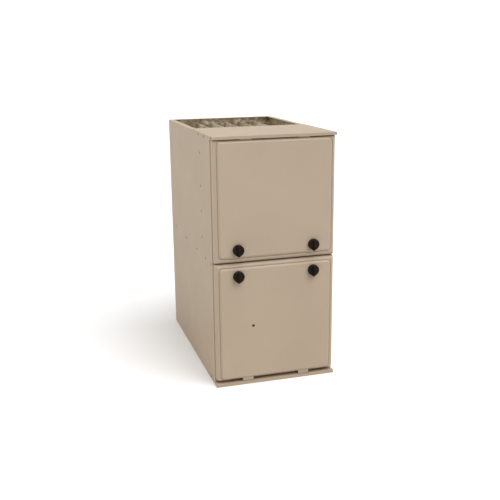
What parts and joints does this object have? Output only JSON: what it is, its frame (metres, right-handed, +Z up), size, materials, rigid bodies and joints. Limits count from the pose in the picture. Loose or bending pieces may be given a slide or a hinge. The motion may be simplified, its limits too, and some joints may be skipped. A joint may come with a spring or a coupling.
{
  "type": "forced air gas furnace",
  "caption": "Upright sheet steel gas furnace: open-topped casing, lift-off doors with turn knobs, heat exchanger cells, burners, inducer, blower and controls inside.",
  "frame": {"origin": "on the floor under the centre of the whole outline, knobs included", "axes": "+Z up, -Y towards the door side (front), +X to the right seen from the front"},
  "size_m": [0.4444, 0.7706, 0.889],
  "materials": {
    "enamel": "satin baked enamel on sheet steel",
    "door_enamel": "satin baked enamel on sheet steel",
    "galvanised": "galvanised sheet",
    "foil": "aluminium foil over insulation",
    "aluminised": "aluminised steel",
    "stainless": "stainless steel",
    "cast_aluminium": "as cast",
    "black_pipe": "black pipe",
    "ceramic": "white ceramic",
    "black_plastic": "moulded, satin",
    "red_plastic": "moulded",
    "black_paint": "black paint",
    "grey_plastic": "moulded",
    "rubber": "matte",
    "clear_tube": "translucent tube",
    "board": "green circuit board"
  },
  "bodies": {
    "cabinet": {"casing_shell": "enamel", "top_panel": "enamel", "base_rail": "enamel", "blower_shelf": "galvanised", "latch_rail": "galvanised", "cell_panel": "galvanised", "inducer_motor": "galvanised", "pressure_switch": "galvanised", "junction_box": "galvanised", "blower_housing": "galvanised", "motor_mount": "galvanised", "control_bracket": "galvanised", "liner": "foil", "heat_cell_1": "aluminised", "heat_cell_2": "aluminised", "heat_cell_3": "aluminised", "heat_cell_4": "aluminised", "heat_cell_5": "aluminised", "coupling_box": "aluminised", "burner_box": "aluminised", "burner_1": "aluminised", "burner_2": "aluminised", "burner_3": "aluminised", "burner_4": "aluminised", "burner_5": "aluminised", "run_capacitor": "aluminised", "secondary_coil": "stainless", "gas_valve": "cast_aluminium", "gas_manifold": "black_pipe", "igniter": "ceramic", "flame_sensor": "ceramic", "collector_box": "black_plastic", "limit_switch": "black_plastic", "rollout_switch_left": "black_plastic", "rollout_switch_right": "black_plastic", "inducer_housing": "black_plastic", "door_switch": "black_plastic", "blower_motor": "black_paint", "transformer": "black_paint", "vent_pipe": "grey_plastic", "condensate_trap": "grey_plastic", "vent_coupling": "rubber", "drain_hose": "rubber", "pressure_tube": "clear_tube", "control_board": "board"},
    "upper_door": {"upper_door": "door_enamel", "door_blanket": "foil"},
    "lower_door": {"lower_door": "door_enamel"},
    "upper_knob_left": {"upper_knob_left": "black_plastic"},
    "upper_knob_right": {"upper_knob_right": "black_plastic"},
    "lower_knob_left": {"lower_knob_left": "black_plastic"},
    "lower_knob_right": {"lower_knob_right": "black_plastic"},
    "blower_rotor": {"blower_wheel": "galvanised", "blower_shaft": "stainless"},
    "inducer_rotor": {"inducer_wheel": "stainless", "inducer_fan": "black_plastic"},
    "door_switch_plunger": {"door_switch_plunger": "red_plastic"},
    "gas_valve_lever": {"gas_valve_lever": "red_plastic"},
    "rollout_button_left": {"rollout_button_left": "red_plastic"},
    "rollout_button_right": {"rollout_button_right": "red_plastic"}
  },
  "joints": [
    {"name": "upper_door_tilt", "type": "hinge", "parent": "cabinet", "child": "upper_door", "pos_m": [0, -0.3574, 0.879], "axis": [-1, 0, 0], "range_deg": [0, 30]},
    {"name": "lower_door_tilt", "type": "hinge", "parent": "cabinet", "child": "lower_door", "pos_m": [0, -0.3622, 0.009], "axis": [1, 0, 0], "range_deg": [0, 30]},
    {"name": "upper_knob_left_turn", "type": "hinge", "parent": "upper_door", "child": "upper_knob_left", "pos_m": [-0.1375, -0.371, 0.5], "axis": [0, -1, 0], "range_deg": [-90, 0]},
    {"name": "upper_knob_right_turn", "type": "hinge", "parent": "upper_door", "child": "upper_knob_right", "pos_m": [0.1375, -0.371, 0.5], "axis": [0, -1, 0], "range_deg": [-90, 0]},
    {"name": "lower_knob_left_turn", "type": "hinge", "parent": "lower_door", "child": "lower_knob_left", "pos_m": [-0.1375, -0.371, 0.406], "axis": [0, -1, 0], "range_deg": [-90, 0]},
    {"name": "lower_knob_right_turn", "type": "hinge", "parent": "lower_door", "child": "lower_knob_right", "pos_m": [0.1375, -0.371, 0.406], "axis": [0, -1, 0], "range_deg": [-90, 0]},
    {"name": "blower_spin", "type": "hinge", "parent": "cabinet", "child": "blower_rotor", "pos_m": [0, 0.07265, 0.214], "axis": [1, 0, 0], "continuous": true},
    {"name": "inducer_spin", "type": "hinge", "parent": "cabinet", "child": "inducer_rotor", "pos_m": [-0.04, -0.24935, 0.538], "axis": [0, 1, 0], "continuous": true},
    {"name": "door_switch_press", "type": "slide", "parent": "cabinet", "child": "door_switch_plunger", "axis": [0, 1, 0], "range_m": [0, 0.005], "stiffness_N_per_m": 200, "springref_m": -0.002},
    {"name": "rollout_reset_left", "type": "slide", "parent": "cabinet", "child": "rollout_button_left", "axis": [0, 0, -1], "range_m": [0, 0.0015], "stiffness_N_per_m": 300, "springref_m": -0.001},
    {"name": "rollout_reset_right", "type": "slide", "parent": "cabinet", "child": "rollout_button_right", "axis": [0, 0, -1], "range_m": [0, 0.0015], "stiffness_N_per_m": 300, "springref_m": -0.001},
    {"name": "gas_valve_lever_turn", "type": "hinge", "parent": "cabinet", "child": "gas_valve_lever", "pos_m": [0.128, -0.33995, 0.72583], "axis": [0, -1, 0], "range_deg": [0, 90]}
  ]
}
